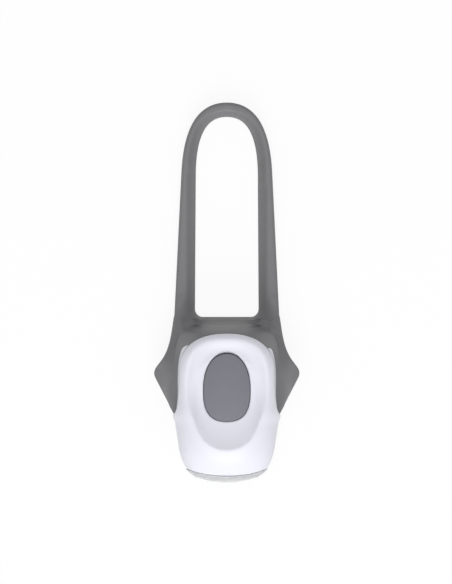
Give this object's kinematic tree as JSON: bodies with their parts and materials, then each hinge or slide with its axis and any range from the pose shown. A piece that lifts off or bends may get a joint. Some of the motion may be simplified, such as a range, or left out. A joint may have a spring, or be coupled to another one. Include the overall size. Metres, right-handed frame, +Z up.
{
  "type": "bike light",
  "caption": "Small strap-on bike light: white housing with a thumb dish, soft push button and clear front lens, held in a grey silicone holder with a long loop strap.",
  "frame": {"origin": "on the resting plane, in the middle of the bar saddle in the underside", "axes": "+Y from the lens towards the strap's loop, +Z up through the button, +X to the right seen from above the button"},
  "size_m": [0.0364, 0.0951, 0.0214],
  "materials": {
    "silicone": "matte",
    "white_housing": "satin",
    "button_grey": "matte",
    "clear_lens": "clear",
    "black_seal": "matte",
    "steel": "satin",
    "door_grey": "matte",
    "plated_contact": "plated",
    "cell_can": "satin",
    "tray_black": "matte",
    "board_green": "satin",
    "board_white": "satin",
    "chip_black": "matte",
    "mirror_bowl": "metallised",
    "lamp_white": "satin"
  },
  "bodies": {
    "holder": {"silicone_strap": "silicone"},
    "light": {"top_shell": "white_housing", "bottom_shell": "white_housing", "case_seal": "black_seal", "case_screws": "steel", "lens": "clear_lens", "lens_seal": "black_seal", "lower_cell": "cell_can", "upper_cell": "cell_can", "cell_tray": "tray_black", "upper_contact": "plated_contact", "side_contact": "plated_contact", "main_board": "board_green", "controller_chip": "chip_black", "resistors": "chip_black", "switch_frame": "steel", "button_seal": "black_seal", "reflector": "mirror_bowl", "led_package": "lamp_white", "led_dome": "clear_lens", "led_board": "board_white", "header_pins": "plated_contact"},
    "button": {"button": "button_grey"},
    "plunger": {"switch_plunger": "chip_black"},
    "door": {"battery_door": "door_grey", "door_seal": "black_seal", "door_contact": "plated_contact"}
  },
  "joints": [
    {"name": "light_slide", "type": "slide", "parent": "holder", "child": "light", "axis": [0, -1, 0], "range_m": [0, 0.03]},
    {"name": "button_press", "type": "slide", "parent": "light", "child": "button", "axis": [0, 0, -1], "range_m": [0, 0.0005], "stiffness_N_per_m": 2000, "springref_m": -0.0001},
    {"name": "plunger_press", "type": "slide", "parent": "light", "child": "plunger", "axis": [0, 0, -1], "range_m": [0, 0.0003]},
    {"name": "door_turn", "type": "hinge", "parent": "light", "child": "door", "pos_m": [0, -0.0038, 0.0054], "axis": [0, 0, 1], "range_deg": [0, 40]}
  ],
  "couplings": [
    {"joint": "plunger_press", "follows": "button_press", "ratio": 0.6}
  ]
}
